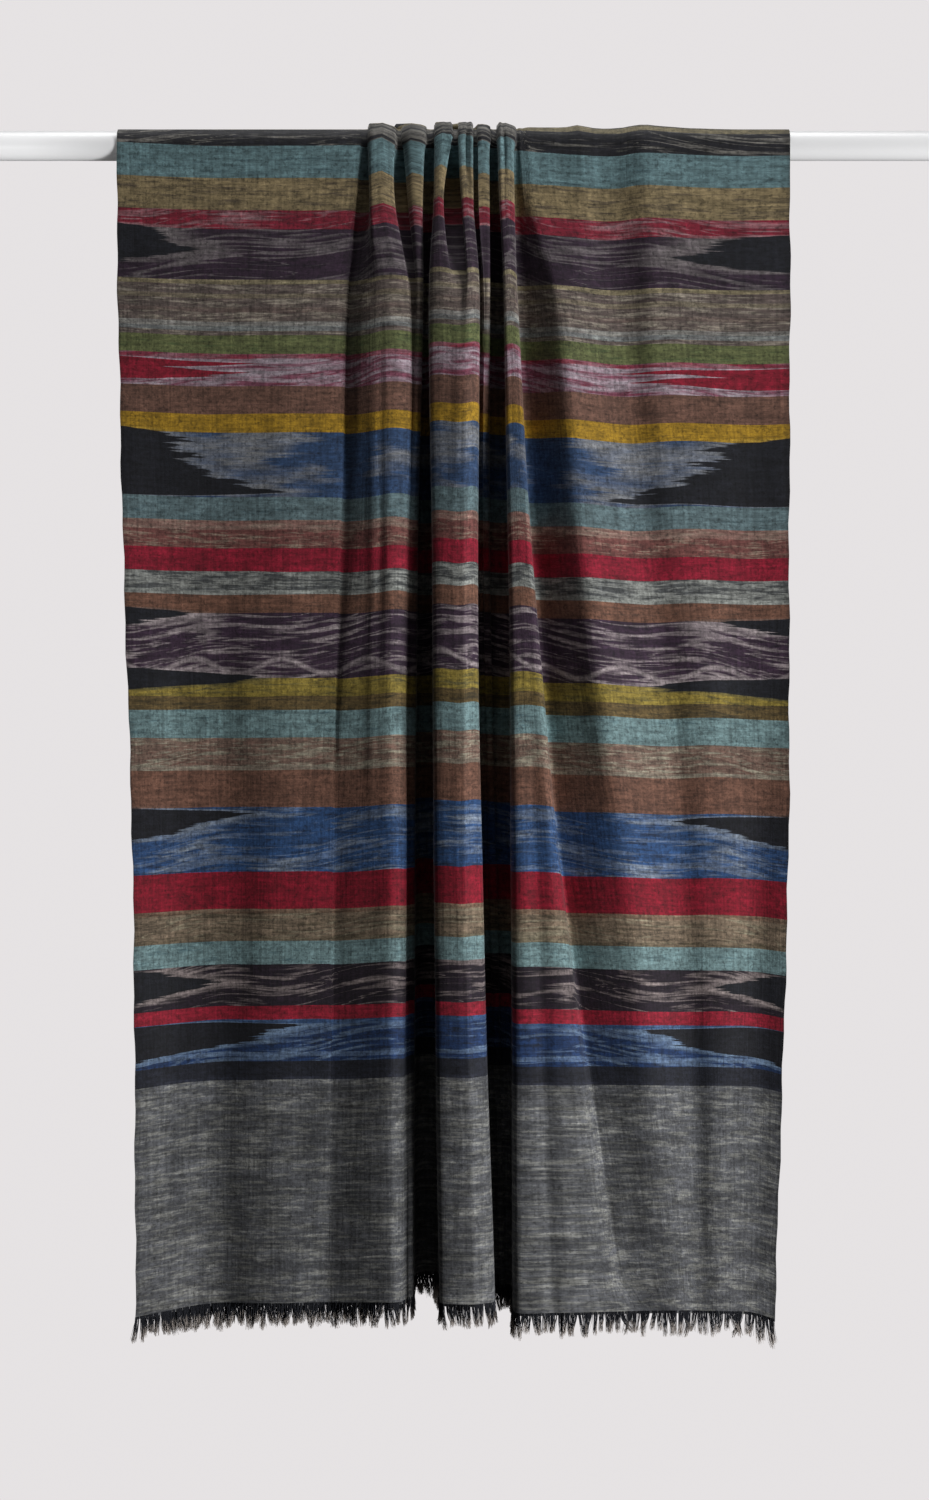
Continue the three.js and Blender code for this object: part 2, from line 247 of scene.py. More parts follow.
# The flat stretches beside the gathers, each row one point of their section, from left to right.
LEFT_PANEL = [
    dict(across=[-284, -284, -283, -278, -270, -266], out=[13.6, 13.6, 14, 17, 22, 33],
         hem=986, skew=-3),
    dict(across=[-214, -214, -214, -210, -206, -206], out=[13.6, 13.6, 12.5, 10, 8, 8],
         hem=977, skew=0),
    dict(across=[-147, -147, -151, -152, -154, -154], out=[13.6, 13.6, 14.5, 19, 22, 24],
         hem=976, skew=0),
    dict(across=[-78, -82, -89, -95.5, -103, -109], out=[13.6, 13.6, 15, 20, 24, 23],
         hem=975, skew=0),
]
RIGHT_PANEL = [
    dict(across=[62, 65, 87, 109, 141, 185], out=[15.5, 17.5, 25, 31, 33, 41],
         hem=979, skew=8),
    dict(across=[136, 136, 139, 162, 191, 207], out=[13.6, 11, 7.5, 9, 11, 35],
         hem=980, skew=10),
    dict(across=[156, 158, 174, 192, 213, 222], out=[17.5, 18, 17.5, 16, 19, 39],
         hem=980, skew=12),
    dict(across=[221, 221, 229, 246, 256, 250], out=[13.6, 13.6, 12.5, 11, 11, 33],
         hem=981, skew=9),
    dict(across=[284, 284, 284, 283, 282, 269], out=[13.6, 13.6, 14, 15, 19, 37],
         hem=987, skew=8),
]
# Each pleat by the left and the right edge of its face. "right_bend" is the bend of its right edge
# where that is softer than the others'.
PLEATS = [
    dict(left=[-73, -71, -61, -54.5, -54, -52], right=[-49, -48.5, -36.5, -39, -39.5, -42],
         out_left=[16.3, 20, 30, 36.5, 38.5, 44], out_right=[15.8, 20, 27.5, 31, 32, 40],
         hem=972, skew=3),
    dict(left=[-44, -39, -32, -35, -35.5, -38], right=[-23, -25, -25, -30, -32, -33],
         out_left=[16.6, 23, 29, 29, 29, 39], out_right=[16.4, 22.5, 28.5, 28, 27, 37],
         hem=968, skew=4),
    dict(left=[-17, -17, -21, -18, -17, -12], right=[-1, -8, -1, -1, 1, 4],
         out_left=[17.6, 26, 36, 44, 49, 55.5], out_right=[18.4, 27, 40, 49.5, 54.5, 60],
         hem=971, skew=0),
    dict(left=[3, 6, 11, 9.5, 10, 18], right=[16.5, 16.5, 22, 21, 24, 35],
         out_left=[18.6, 28.5, 42, 50.8, 56, 61.5], out_right=[17.6, 26, 34.5, 37.5, 38, 46],
         hem=971, skew=0),
    dict(left=[20, 20, 23.5, 25, 30, 39], right=[31, 31, 31, 31, 36, 43],
         out_left=[17, 24.5, 29, 17, 9, 8], out_right=[16.6, 24, 27, 14, 8, 7], hem=963, skew=3),
    dict(left=[36, 38, 42, 46, 48, 49], right=[52, 52, 54, 66.5, 88, 130],
         out_left=[17.4, 26, 33, 41, 46, 53], out_right=[16.4, 24, 31, 42, 45.5, 41],
         hem=980, skew=1, right_bend=[3.2, 5, 7, 10, 18, 40]),
]
# The valleys before, between and after the pleats, by how far out their floors lie. "floor_right"
# is for the floor's right side where it isn't level. A valley's mouth is the gap between the faces
# on either side of it.
VALLEYS = [
    dict(floor=[13.6, 10, 11, 19, 24, 23], floor_right=[13.6, 10, 21, 25, 24, 24], hem=975),
    dict(floor=[13.6, 9, 24, 28, 28, 38], hem=970),
    dict(floor=[13.6, 6, 3, 3, 3, 3], hem=952),
    dict(floor=[13.6, 7, 39, 50, 55.2, 60.8], hem=971),
    dict(floor=[13.6, 12, 22, 12, 6, 5], hem=963),
    dict(floor=[13.6, 6, 3, 3, 3, 3], hem=963),
    dict(floor=[13.6, 9, 4, 3, 11, 38], hem=980),
]
# The first valley goes down by a share of its mouth and rises to its pleat by a slope of so many
# millimetres. The last one's two sides are shares of its mouth. A valley's floor is at least
# LEAST_FLOOR wide.
FIRST_FLOOR_SHARE = 0.04
FIRST_SLOPE = [-3, -2, 19, 30, 48, 50]
LAST_FLOOR_SHARE = [0, 0, 0, 0, 0.04, 0.25]
LAST_SLOPE_SHARE = [0.85, 0.85, 0.85, 0.87, 0.93, 0.93]
LEAST_FLOOR = 3
# A valley more than DEEP below its pleats runs under them by TUCK, or at most a share of the
# pleat's face. One less than SHALLOW deep slopes down by a share of its mouth.
TUCK = [5, 3, 2, 1.5, 1.5, 1.5]
TUCK_SHARE = 0.27
SHALLOW_SHARE = 0.28
SHALLOW, DEEP = 2, 5
# A corner's bend takes so much of the two flanks beside it, but never more than a share of either.
# A pleat's face rises in its middle by a share of its width.
BEND = [4, 4.5, 5, 7, 9, 11]
WAVE_BEND = [60] * len(DOWN)
MOST_BEND_SHARE = 0.42
BEND_POINTS = 7
CROWN = [0.14, 0.12, 0.07, 0.04, 0.04, 0.04]
# Behind the rod the folds wander along it and stand out less, and the hem has its own unevenness
# from one place across to another.
BACK_SWAY = [0, 2, 6, 10, 7, -4]
BACK_RELIEF = 0.93
BACK_RELIEF_FROM = 50
BACK_HEM_LEFT, BACK_HEM_RIGHT = 6, -10
BACK_HEM_FROM, BACK_HEM_TO = -90, 60


def smooth(share):
    """An even rise from 0 to 1: three times the share's square less twice its cube."""
    share = np.clip(share, 0, 1)
    return share * share * (3 - 2 * share)


def at_heights(values, down):
    """A smooth curve through a fold's values at the heights in DOWN: a cubic on each span, whose
    slopes at its ends are those of the line between the neighbours on either side."""
    values = np.asarray(values, float)
    last = len(DOWN) - 1
    i = np.minimum(np.searchsorted(DOWN[1:], down), last - 1)
    before = np.maximum(np.arange(last + 1) - 1, 0)
    after = np.minimum(np.arange(last + 1) + 1, last)
    slope = (values[after] - values[before]) / (DOWN[after] - DOWN[before])
    span = DOWN[i + 1] - DOWN[i]
    t = np.clip((down - DOWN[i]) / span, 0, 1)
    return (values[i] * (1 + 2 * t) * (1 - t) ** 2 + values[i + 1] * t * t * (3 - 2 * t)
            + slope[i] * span * t * (1 - t) ** 2 - slope[i + 1] * span * t * t * (1 - t))


def fold_corners(down, back):
    """The corners of the cloth's section from selvedge to selvedge, for every height at once, as
    an array [corner, height, (across, out, hem, skew, weft place)], and each corner's bend, or
    None at the crown of a pleat. A corner's weft place on the flat cloth is the mean length of the
    section up to it, scaled to the cloth's width."""
    zero = np.zeros_like(down)
    sway = at_heights(BACK_SWAY, down) if back else zero
    relief = 1 - (1 - BACK_RELIEF) * smooth(down / BACK_RELIEF_FROM) * back

    def stand(out):
        """The distance out, with what it has beyond the seat made less behind the rod."""
        return np.where(out > SEAT, SEAT + (out - SEAT) * relief, out)

    corners, bends = [], []

    def add_corner(across, out, row, bend):
        """One more corner, with its row's hem and skew."""
        corners.append(np.stack([across, out, zero + row["hem"], zero + row["skew"]], axis=-1))
        bends.append(bend)

    def panel_point(row, moved):
        """A row's place across and out, moved along the rod with the back's folds."""
        across = at_heights(row["across"], down) + (sway if moved else 0)
        return across, stand(at_heights(row["out"], down))

    faces = [dict(row, start=at_heights(row["left"], down) + sway,
                  end=at_heights(row["right"], down) + sway,
                  start_out=stand(at_heights(row["out_left"], down)),
                  end_out=stand(at_heights(row["out_right"], down))) for row in PLEATS]
    for face in faces:
        face["width"] = face["end"] - face["start"]
    left_across, left_out = panel_point(LEFT_PANEL[-1], True)
    right_across, right_out = panel_point(RIGHT_PANEL[0], True)
    left_end = dict(LEFT_PANEL[-1], end=left_across, end_out=left_out, width=zero)
    right_end = dict(RIGHT_PANEL[0], start=right_across, start_out=right_out, width=zero)

    for i, row in enumerate(LEFT_PANEL[:-1]):
        add_corner(*panel_point(row, i > 0), row, WAVE_BEND)
    tuck = at_heights(TUCK, down)
    for i, valley in enumerate(VALLEYS):
        left = ([left_end] + faces)[i]
        right = (faces + [right_end])[i]
        floor = stand(at_heights(valley["floor"], down))
        floor_right = stand(at_heights(valley.get("floor_right", valley["floor"]), down))
        mouth = right["start"] - left["end"]

        def lean_in(face, edge):
            """How far a valley's side leans in from an edge of a pleat's face: more than 0 into
            the valley, and less than 0 under the pleat."""
            most = np.minimum(tuck, TUCK_SHARE * face["width"])
            share = np.clip((edge - floor - SHALLOW) / (DEEP - SHALLOW), 0, 1)
            return mouth * SHALLOW_SHARE * (1 - share) - most * share

        lean_left = mouth * FIRST_FLOOR_SHARE if i == 0 else lean_in(left, left["end_out"])
        if i == 0:
            lean_right = at_heights(FIRST_SLOPE, down)
        elif i == len(VALLEYS) - 1:
            lean_right = mouth * at_heights(LAST_SLOPE_SHARE, down)
            lean_left = lean_left + mouth * at_heights(LAST_FLOOR_SHARE, down)
        else:
            lean_right = lean_in(right, right["start_out"])
        lean_right = np.minimum(lean_right, mouth - lean_left - LEAST_FLOOR)
        between = dict(valley, skew=(left["skew"] + right["skew"]) / 2)
        add_corner(left["end"], left["end_out"], left, left.get("right_bend", BEND))
        add_corner(left["end"] + lean_left, floor, between, BEND)
        add_corner(right["start"] - lean_right, floor_right, between, BEND)
        add_corner(right["start"], right["start_out"], right, BEND)
        if i < len(faces):
            crown_out = ((right["start_out"] + right["end_out"]) / 2
                         + at_heights(CROWN, down) * right["width"])
            add_corner((right["start"] + right["end"]) / 2, crown_out, right, None)
    for i, row in enumerate(RIGHT_PANEL[1:]):
        add_corner(*panel_point(row, i < len(RIGHT_PANEL) - 2), row, WAVE_BEND)
    # Over the rod the cloth is bunched, so its width is taken below the third height.
    corners = np.stack(corners)
    steps = np.hypot(np.diff(corners[..., 0], axis=0), np.diff(corners[..., 1], axis=0))
    lengths = np.concatenate([[0], np.cumsum(steps[:, down > DOWN[2]].mean(axis=1))])
    weft = (lengths / lengths[-1] - 0.5) * 2 * HALF_WIDTH
    weft = np.broadcast_to(weft[:, None, None], corners.shape[:2] + (1,))
    return np.concatenate([corners, weft], axis=-1), bends


def rounded_section(down, back):
    """The cloth's section as a fine line, [point, height, value]: each fold's corner gives way to a
    parabola whose ends lie a bend's length, or most of a flank's share, along the two flanks."""
    corners, bends = fold_corners(down, back)
    line = [corners[:1]]
    t = np.linspace(0, 1, BEND_POINTS)[:, None, None]
    for i in range(1, len(corners) - 1):
        corner = corners[i]
        if bends[i] is None:
            line.append(corner[None])
            continue
        bend = at_heights(bends[i], down)
        ends = []
        for other in (corners[i - 1], corners[i + 1]):
            length = np.hypot(other[:, 0] - corner[:, 0], other[:, 1] - corner[:, 1])
            share = np.minimum(MOST_BEND_SHARE, bend / np.maximum(length, 0.01))[:, None]
            ends.append(corner + (other - corner) * share)
        line.append((1 - t) ** 2 * ends[0] + 2 * t * (1 - t) * corner + t * t * ends[1])
    line.append(corners[-1:])
    return np.concatenate(line)


# The flat cloth: "weft" runs across it from selvedge to selvedge, with 0 in its middle, and "warp"
# along it, with 0 on the crest of the rod, more than 0 in front and less behind. SHELL is how
# thick it is.
HALF_WIDTH = 380.0
HALF_LENGTH = 1003.0
SHELL = 0.5
# The cloth's grid is closest at the gathers and over the rod: (from, to, lines) for each stretch.
WEFT_STRETCHES = [(-HALF_WIDTH, -210, 34), (-210, 215, 222), (215, HALF_WIDTH, 34)]
WARP_STRETCHES = [(-HALF_LENGTH, -200, 42), (-200, -42, 13), (-42, 42, 32), (42, 200, 19),
                  (200, HALF_LENGTH, 61)]
# Rows of the even scale of heights, and the one whose skew is taken.
HEIGHTS = 246
SKEW_ROW = HEIGHTS // 3
# The pull of a pleat's longer way over the rod evens out between warp lines this far apart, over
# this drop.
EVEN_ACROSS, EVEN_WITHIN = 9.0, 130.0
# The cloth goes on below its folds' hem line by the width of the fringe's strip. The hem's own
# unevenness is spread over the cloth from this far down.
STRIP = 3.3
HEM_PULL_FROM, HEM_PULL_OVER = 300, HALF_LENGTH - 320


def spaced(stretches):
    """Places along a line, evenly spaced within each stretch, with the last stretch's end."""
    places = [np.linspace(*stretch, endpoint=False) for stretch in stretches[:-1]]
    return np.concatenate(places + [np.linspace(*stretches[-1])])


weft_places = spaced(WEFT_STRETCHES)
warp_places = spaced(WARP_STRETCHES)


def hanging_half(back):
    """Where each warp line of the cloth runs as it hangs: [height, warp line, value] on an even
    scale of heights. A warp line keeps its place on its fold all the way down."""
    line = rounded_section(np.linspace(0, DOWN[-1], HEIGHTS), back)
    return np.array([[np.interp(weft_places, row[:, 4], row[:, value]) for value in range(4)]
                     for row in line.transpose(1, 0, 2)]).transpose(0, 2, 1)


def evened(values):
    """Each warp line's value as the mean of its neighbours', weighted by a bell curve."""
    apart = (weft_places[:, None] - weft_places[None, :]) / EVEN_ACROSS
    weight = np.exp(-apart ** 2 / 2) * np.gradient(weft_places)[None, :]
    return (weight * values[None, :]).sum(axis=1) / weight.sum(axis=1)


def shawl_surface():
    """The middle surface of the shawl, [warp place, weft place, (x, y, z)]. A point's run over the
    rod is its warp place plus the skew. Within a quarter turn of the crest it lies on the rod at
    the angle of that run over its distance out, and past it, it hangs by what is left of the run,
    with the hem's own unevenness coming in towards the hem."""
    halves = [hanging_half(False), hanging_half(True)]
    warp = warp_places[:, None]
    out_on_rod = halves[0][0, :, 1]
    quarter = out_on_rod * math.pi / 2
    skew = halves[0][SKEW_ROW, :, 3]
    low = smooth((np.abs(warp) - HEM_PULL_FROM) / HEM_PULL_OVER)
    front_hem, back_hem = [half[-1, :, 2] + STRIP for half in halves]
    to_right = smooth((halves[1][-1, :, 0] - BACK_HEM_FROM) / (BACK_HEM_TO - BACK_HEM_FROM))
    back_hem = back_hem + BACK_HEM_LEFT + (BACK_HEM_RIGHT - BACK_HEM_LEFT) * to_right
    hem = np.where(warp > 0, front_hem, back_hem)
    even = evened(quarter)
    residual = hem - (HALF_LENGTH - even)
    run = warp + skew * (1 - low) + np.sign(warp) * residual * low
    hang = np.maximum(np.abs(run) - quarter, 0)
    hang = hang + (quarter - even) * smooth(hang / EVEN_WITHIN)
    height = np.clip(hang / (hem - STRIP), 0, 1) * (HEIGHTS - 1)
    low_row = np.minimum(height.astype(int), HEIGHTS - 2)
    share = (height - low_row)[..., None]
    column = np.arange(len(weft_places))[None, :]
    front, behind = [half[low_row, column] * (1 - share) + half[low_row + 1, column] * share
                     for half in halves]
    values = np.where((run > 0)[..., None], front, behind)
    across, out = values[..., 0], values[..., 1]
    turn = np.clip(run / out_on_rod, -math.pi / 2, math.pi / 2)
    over = np.abs(run) < quarter
    y = np.where(over, -out_on_rod * np.sin(turn), -np.sign(run) * out)
    z = np.where(over, out_on_rod * np.cos(turn), -hang)
    return np.stack([across, y, z], axis=-1)


def outward(surface):
    """Unit normals of a grid of points: the cross product of its two directions, made 1 long."""
    along_warp = np.gradient(surface, axis=0)
    along_weft = np.gradient(surface, axis=1)
    normal = np.cross(along_warp, along_weft)
    return normal / np.maximum(np.linalg.norm(normal, axis=-1, keepdims=True), 1e-9)


# Small creases on the front, each a soft ridge, or a trough where its rise is below 0, along a
# line: where that lies across the rod at its start and end, how far below the rod's axis it starts
# and ends, its rise, and its half width. It fades over a share of its length at each end.
CREASES = [
    dict(across=(-3.0, -4.0), down=(-40, 90), rise=2.0, width=1.6),
    dict(across=(13.8, 15.5), down=(-40, 70), rise=2.0, width=1.5),
    dict(across=(39.2, 41.0), down=(-40, 70), rise=1.9, width=1.5),
    dict(across=(21.0, 24.0), down=(-40, 60), rise=1.2, width=1.3),
    dict(across=(-69.0, -67.0), down=(-40, 110), rise=1.8, width=2.2),
    dict(across=(-33.0, -31.0), down=(-40, 80), rise=1.0, width=2.0),
    dict(across=(54.0, 60.0), down=(-40, 60), rise=1.0, width=2.0),
    dict(across=(76.5, 84.0), down=(-40, 90), rise=1.6, width=2.4),
    dict(across=(103.0, 108.0), down=(-60, 150), rise=3.0, width=11.0),
    dict(across=(96.0, 100.0), down=(-40, 60), rise=-0.8, width=3.0),
    dict(across=(160.0, 172.0), down=(-60, 330), rise=2.4, width=9.0),
    dict(across=(196.0, 206.0), down=(-40, 260), rise=-1.0, width=10.0),
    dict(across=(11.4, 11.4), down=(-14, 34), rise=-3.2, width=2.2),
    dict(across=(42.7, 43.5), down=(-14, 30), rise=-2.4, width=2.0),
    dict(across=(25.0, 26.5), down=(-10, 230), rise=-2.6, width=2.6),
    dict(across=(-60.0, -62.0), down=(90, 460), rise=-0.9, width=3.5),
    dict(across=(-66.0, -70.0), down=(200, 620), rise=0.8, width=4.0),
    dict(across=(62.0, 90.0), down=(430, 1120), rise=-3.4, width=7.5),
    dict(across=(74.0, 82.0), down=(-12, 120), rise=-1.5, width=4.5),
    dict(across=(97.0, 104.0), down=(-12, 90), rise=-1.2, width=5.0),
    dict(across=(4.6, 8.9), down=(636, 690), rise=0.9, width=2.2),
    dict(across=(-232.0, -236.0), down=(500, 900), rise=-1.0, width=12.0),
]
CREASE_FADE = 0.25
# Creases come in over the first millimetres above the rod's axis, and where the cloth faces
# forwards in front of the rod's mid-plane.
TOP_WITHIN, FACING_GAIN, FRONT_FROM = 4, 1.6, -3
# The slow swells of hand-woven cloth, and finer ripples: their height, and how many millimetres of
# cloth a radian of each sine takes. A swell drifts sideways by so many radians. All of them die
# out towards the rod.
SWELL = dict(height=0.45, across=11.0, along=93.0, lean=60.0, drift=2.0, drift_along=171.0)
RIPPLE = dict(height=0.35, across=6.3, along=61.0, lean=240.0)
SWELL_FROM, SWELL_OVER = 30, 120
# The selvedges: how far each of two waves moves them, the waves' millimetres to a radian, how far
# in from the edge that reaches, and where below the rod it begins.
SELVEDGE_WANDER, SELVEDGE_WAVES, SELVEDGE_DEPTH = 0.45, (8.1, 23.0), 14.0
WANDER_FROM, WANDER_OVER = 20, 60


def add_creases(surface):
    """Moves each point along its normal: a crease's rise times a bell curve of the distance from
    its line, fading in and out over its ends, and then the product of two sines for the swells
    and for the ripples."""
    normal = outward(surface)
    across, down = surface[..., 0], -surface[..., 2]
    over_rod = np.clip(surface[..., 2] / TOP_WITHIN, 0, 1)
    in_front = np.clip(-normal[..., 1] * FACING_GAIN, 0, 1) * (surface[..., 1] < FRONT_FROM)
    faces_front = np.maximum(over_rod, in_front)
    moved = np.zeros(across.shape)
    for crease in CREASES:
        top, bottom = crease["down"]
        t = (down - top) / (bottom - top)
        line = crease["across"][0] + (crease["across"][1] - crease["across"][0]) * t
        fade = smooth(t / CREASE_FADE) * smooth((1 - t) / CREASE_FADE)
        moved += crease["rise"] * np.exp(-(((across - line) / crease["width"]) ** 2)) * fade
    weft, warp = weft_places[None, :], warp_places[:, None]
    drift = SWELL["drift"] * np.sin(warp / SWELL["drift_along"])
    swell = (SWELL["height"] * np.sin(weft / SWELL["across"] + drift)
             * np.sin(warp / SWELL["along"] + weft / SWELL["lean"]))
    ripple = (RIPPLE["height"] * np.sin(weft / RIPPLE["across"] + warp / RIPPLE["lean"])
              * np.sin(warp / RIPPLE["along"]))
    hang = smooth((np.abs(warp) - SWELL_FROM) / SWELL_OVER)
    return surface + normal * (moved * faces_front + (swell + ripple) * hang)[..., None]


def wave_selvedges(surface):
    """Lets each selvedge wander along the rod by up to a millimetre: a sum of two sines of the
    warp place, dying away from the edge inwards and towards the rod."""
    weft, warp = weft_places[None, :], warp_places[:, None]
    side = np.sign(weft)
    near = np.exp(-(HALF_WIDTH - np.abs(weft)) / SELVEDGE_DEPTH)
    wander = sum(SELVEDGE_WANDER * np.sin(warp / wave + turn * side)
                 for turn, wave in enumerate(SELVEDGE_WAVES, start=1))
    surface = surface.copy()
    surface[..., 0] += near * wander * smooth((np.abs(warp) - WANDER_FROM) / WANDER_OVER)
    return surface


def shell(surface, thickness):
    """A thin closed wall about a grid of points: the grid moved half the thickness out and in along
    its normals, with the two joined round their edges. Gives the points, the quads, and each
    point's (weft, warp)."""
    rows, columns = surface.shape[:2]
    normal = outward(surface)
    ring = np.concatenate([
        surface + normal * thickness / 2,
        (surface - normal * thickness / 2)[:, ::-1],
    ], axis=1)
    sides = tube_quads(rows, 2 * columns)
    index = np.arange(rows * 2 * columns).reshape(rows, 2 * columns)
    ends = []
    for row, turn in ((0, 1), (rows - 1, -1)):
        outer = index[row, :columns]
        inner = index[row, columns:][::-1]
        quads = np.stack([outer[:-1], outer[1:], inner[1:], inner[:-1]], axis=-1)
        ends.append(quads[:, ::turn])
    flat = np.stack(np.broadcast_arrays(weft_places[None, :], warp_places[:, None]), axis=-1)
    flat = np.concatenate([flat, flat[:, ::-1]], axis=1)
    return ring, np.concatenate([sides, *ends]), flat


# The stripes, from the crest of the rod to the hem, on both halves of the cloth: how far from the
# crest each ends (mm), the colour of its yarn, the colour and share of the finer picks laid among
# it, and for ikat the colour that shows where the yarn was tied, its share, and how broad its
# patches are (0 for long wisps, 1 for patches). Colours are sRGB, 0 to 255.
STRIPES = [
    # end, yarn, fine picks, share, tied colour, share, patches
    (2, (100, 92, 70), (60, 56, 50), 0.3, (120, 116, 110), 0.0, 0),
    (22, (25, 25, 30), (70, 70, 66), 0.28, (116, 113, 107), 0.30, 0),
    (47, (86, 110, 114), (62, 84, 90), 0.3, (120, 130, 130), 0.0, 0),
    (78, (118, 104, 76), (78, 68, 54), 0.4, (140, 130, 104), 0.0, 0),
    (90, (108, 25, 41), (76, 28, 42), 0.3, (134, 104, 108), 0.38, 0),
    (135, (43, 30, 43), (33, 26, 37), 0.3, (112, 106, 106), 0.27, 0.15),
    (183, (84, 74, 70), (132, 124, 112), 0.42, (70, 58, 56), 0.25, 0),
    (197, (87, 92, 58), (66, 78, 48), 0.35, (110, 112, 78), 0.0, 0),
    (223, (110, 62, 78), (98, 28, 46), 0.35, (150, 140, 148), 0.5, 0.1),
    (247, (96, 69, 58), (76, 54, 48), 0.3, (110, 90, 80), 0.0, 0),
    (265, (142, 110, 28), (106, 82, 30), 0.25, (160, 130, 50), 0.0, 0),
    (319, (42, 63, 94), (32, 46, 70), 0.3, (116, 117, 119), 0.42, 0.9),
    (338, (85, 103, 107), (64, 84, 90), 0.3, (120, 130, 130), 0.0, 0),
    (360, (99, 60, 56), (134, 116, 102), 0.38, (84, 48, 46), 0.0, 0),
    (380, (124, 20, 40), (98, 17, 34), 0.25, (150, 50, 66), 0.0, 0),
    (399, (68, 70, 71), (128, 130, 126), 0.5, (140, 140, 136), 0.0, 0),
    (417, (102, 71, 57), (78, 57, 48), 0.3, (110, 92, 84), 0.0, 0),
    (472, (49, 34, 49), (33, 26, 37), 0.3, (154, 143, 144), 0.36, 0.12),
    (485, (126, 110, 48), (92, 84, 46), 0.35, (78, 74, 50), 0.15, 0),
    (499, (91, 75, 45), (62, 54, 34), 0.4, (60, 52, 36), 0.2, 0),
    (522, (100, 123, 125), (68, 92, 98), 0.3, (130, 140, 140), 0.0, 0),
    (550, (104, 84, 74), (136, 130, 114), 0.42, (92, 62, 54), 0.3, 0),
    (582, (100, 70, 57), (78, 55, 46), 0.3, (110, 92, 84), 0.0, 0),
    (636, (37, 65, 104), (31, 44, 68), 0.35, (124, 133, 144), 0.38, 0.45),
    (666, (117, 14, 33), (92, 12, 29), 0.25, (140, 50, 64), 0.0, 0),
    (692, (112, 97, 81), (80, 70, 56), 0.45, (130, 124, 104), 0.25, 0),
    (712, (100, 123, 125), (68, 92, 98), 0.3, (130, 140, 140), 0.0, 0),
    (747, (31, 23, 32), (23, 19, 26), 0.3, (140, 128, 126), 0.34, 0.14),
    (761, (128, 22, 40), (102, 18, 35), 0.25, (140, 50, 64), 0.0, 0),
    (793, (27, 48, 84), (24, 32, 48), 0.35, (104, 124, 148), 0.34, 0.15),
    (810, (27, 29, 38), (21, 23, 30), 0.3, (46, 48, 56), 0.0, 0),
    (1010, (66, 67, 70), (99, 99, 96), 0.42, (40, 42, 48), 0.0, 0),
]
# The wedges at both selvedges, a row for each wedge or close pair: how far they reach in (mm) by
# distance from the crest. Each run is short enough for one colour scale, which holds a share of
# WEDGE_SCALE. All are near black but for the crimson ones within the stretch that WEDGE_COLOURS
# gives, in metres.
UPPER_WEDGES = [
    (91, 0), (92, 30), (99, 37), (106, 46), (112, 60), (117, 42), (121, 16), (124, 0),
    (203, 0), (207, 110), (211, 40), (216, 120), (221, 10), (223, 0),
    (265, 0), (265.5, 38), (278, 52), (292, 62), (302, 78), (310, 104), (318.5, 136), (319, 0),
]
LOWER_WEDGES = [
    (417, 0), (417.5, 62), (423, 44), (428, 10), (431, 0),
    (465, 0), (468, 70), (475, 118), (478.5, 64), (482, 10), (483, 0),
    (582, 0), (582.5, 118), (588, 92), (595, 62), (603, 34), (609, 4), (611, 0),
    (716, 0), (721, 30), (730, 74), (738, 34), (744, 0),
    (764, 0), (764.5, 150), (776, 120), (786, 60), (791, 0),
]
WEDGE_SCALE = 200.0
WEDGE_COLOURS = [(0, (22, 23, 29)), (0.2, (118, 20, 38)), (0.225, (22, 23, 29))]
# The distances inside a wedge's edge, in metres, over which it comes in, and over which the halo
# of pale tied yarn around it does. There is none where a wedge reaches in by less than LEAST_WEDGE.
WEDGE_EDGE, HALO_EDGE, LEAST_WEDGE = (-0.001, 0.003), (-0.034, -0.006), (0.002, 0.008)
HALO_SOLID = 0.85
# Single picks and pairs of picks of another yarn: where each starts and ends (mm from the crest),
# its colour and how solid it lies.
UPPER_PICKS = [
    (136, 138.5, (129, 120, 86), 0.7), (141, 144.5, (95, 67, 57), 0.6),
    (147, 148.5, (124, 115, 89), 0.5), (158, 162.5, (89, 69, 64), 0.45),
    (170.5, 172.5, (138, 141, 138), 0.6), (175, 177, (117, 129, 132), 0.6),
    (181, 183, (96, 77, 69), 0.5), (197, 199.5, (120, 22, 40), 0.8),
    (338.5, 340, (138, 119, 108), 0.5), (343.5, 345.5, (138, 119, 108), 0.65),
    (349, 350.5, (138, 119, 108), 0.5), (353.5, 355, (138, 119, 108), 0.6),
    (359.5, 361.2, (151, 139, 131), 0.8),
]
LOWER_PICKS = [
    (379.5, 381.2, (138, 141, 136), 0.75), (397.3, 399, (138, 141, 136), 0.8),
    (523.5, 526, (100, 55, 48), 0.5), (533, 535, (129, 126, 112), 0.4),
    (544.5, 547, (129, 126, 112), 0.6), (666, 668, (103, 72, 57), 0.5),
    (690, 692, (77, 69, 52), 0.5), (761, 762.8, (55, 81, 117), 0.7),
    (787.5, 790, (100, 120, 146), 0.6),
]
# In metres from here on. The cloth's noise keeps within these values. A stripe's edge wavers by
# EDGE_WAVER. The tied places slant and bow as they go in from the selvedge, with SLANT of warp to
# one of weft, and BOW_WAVES radians a metre.
NOISE_LEAST, NOISE_MOST = 0.19, 0.81
EDGE_WAVER = 0.0012
SLANT, BOW, BOW_WAVES = -0.10, 0.0035, 46
# Pale brush strokes of tied yarn: half their solid width and half their whole width, as values of
# a noise about its middle, from FINEST to BROADEST times that.
STROKE_CORE, STROKE_EDGE, STROKE_FINEST, STROKE_BROADEST = 0.006, 0.022, 0.25, 2.25
STROKE_SOLID, STROKE_LOSS_IN_PATCHES = 0.75, 0.7
